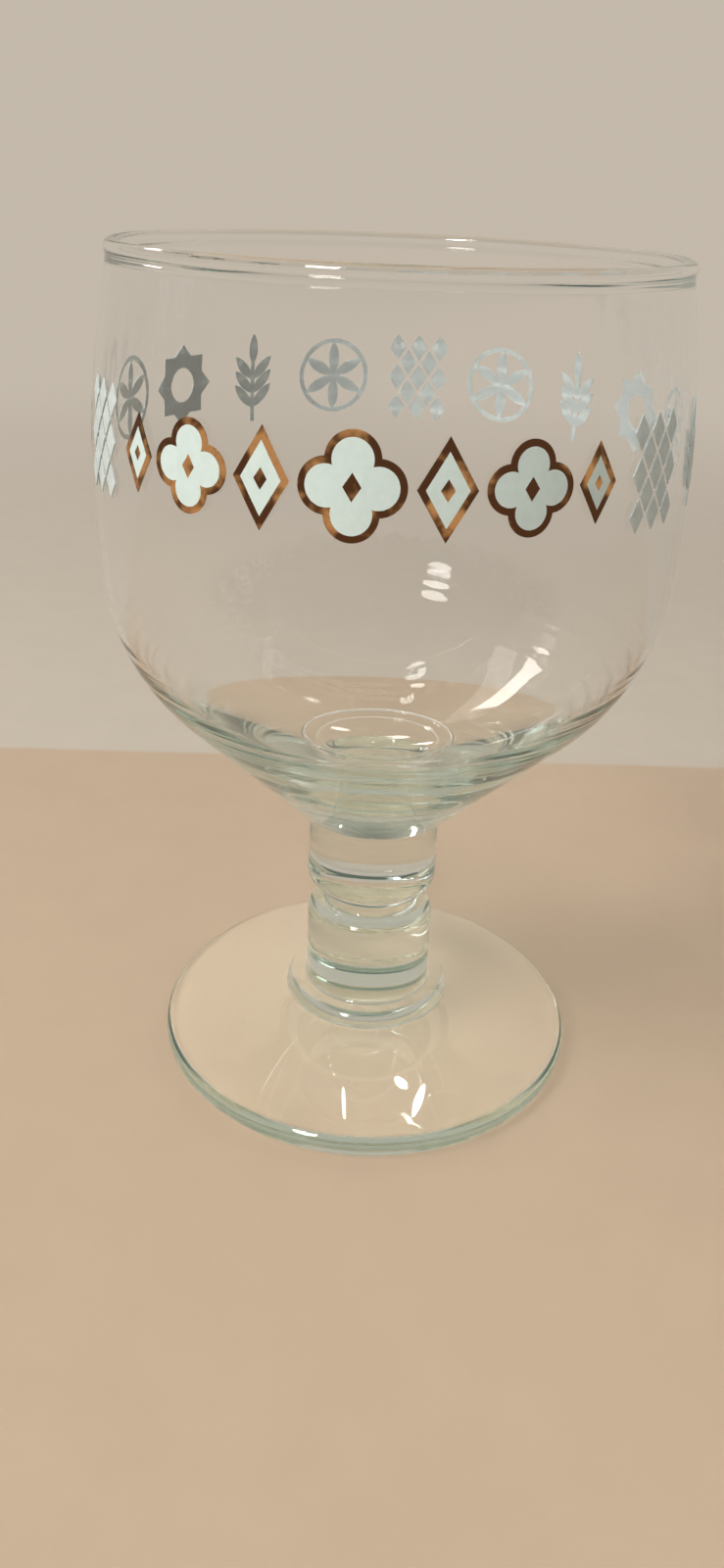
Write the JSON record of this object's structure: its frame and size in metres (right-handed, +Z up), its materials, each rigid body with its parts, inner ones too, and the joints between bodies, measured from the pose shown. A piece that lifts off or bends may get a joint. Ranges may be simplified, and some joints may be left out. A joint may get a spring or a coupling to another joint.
{
  "type": "chalice beer glass",
  "caption": "Chalice beer glass: barrel bowl with a beaded rim, thick floor and printed band, on a short grooved stem and a wide round foot.",
  "frame": {"origin": "middle of the foot's base, on the plane of the ring that the glass rests on", "axes": "+Z up along the glass's axis, from the foot to the rim; the middle of the front of the print faces -Y"},
  "size_m": [0.1012, 0.1014, 0.155],
  "materials": {
    "bowl_glass": "clear, fire-polished",
    "pressed_glass": "clear, pressed",
    "white_enamel": "fired, satin",
    "gold": "fired gold, glossy",
    "frieze_enamel": "fired, satin"
  },
  "bodies": {
    "root": {"bowl": "bowl_glass", "stem": "pressed_glass", "foot": "pressed_glass", "enamel_quatrefoils": "white_enamel", "enamel_lozenges": "white_enamel", "gold_outlines": "gold", "gold_centres": "gold", "frieze_lattices": "frieze_enamel", "frieze_sprigs": "frieze_enamel", "frieze_rosettes": "frieze_enamel", "frieze_stars": "frieze_enamel"}
  },
  "joints": []
}
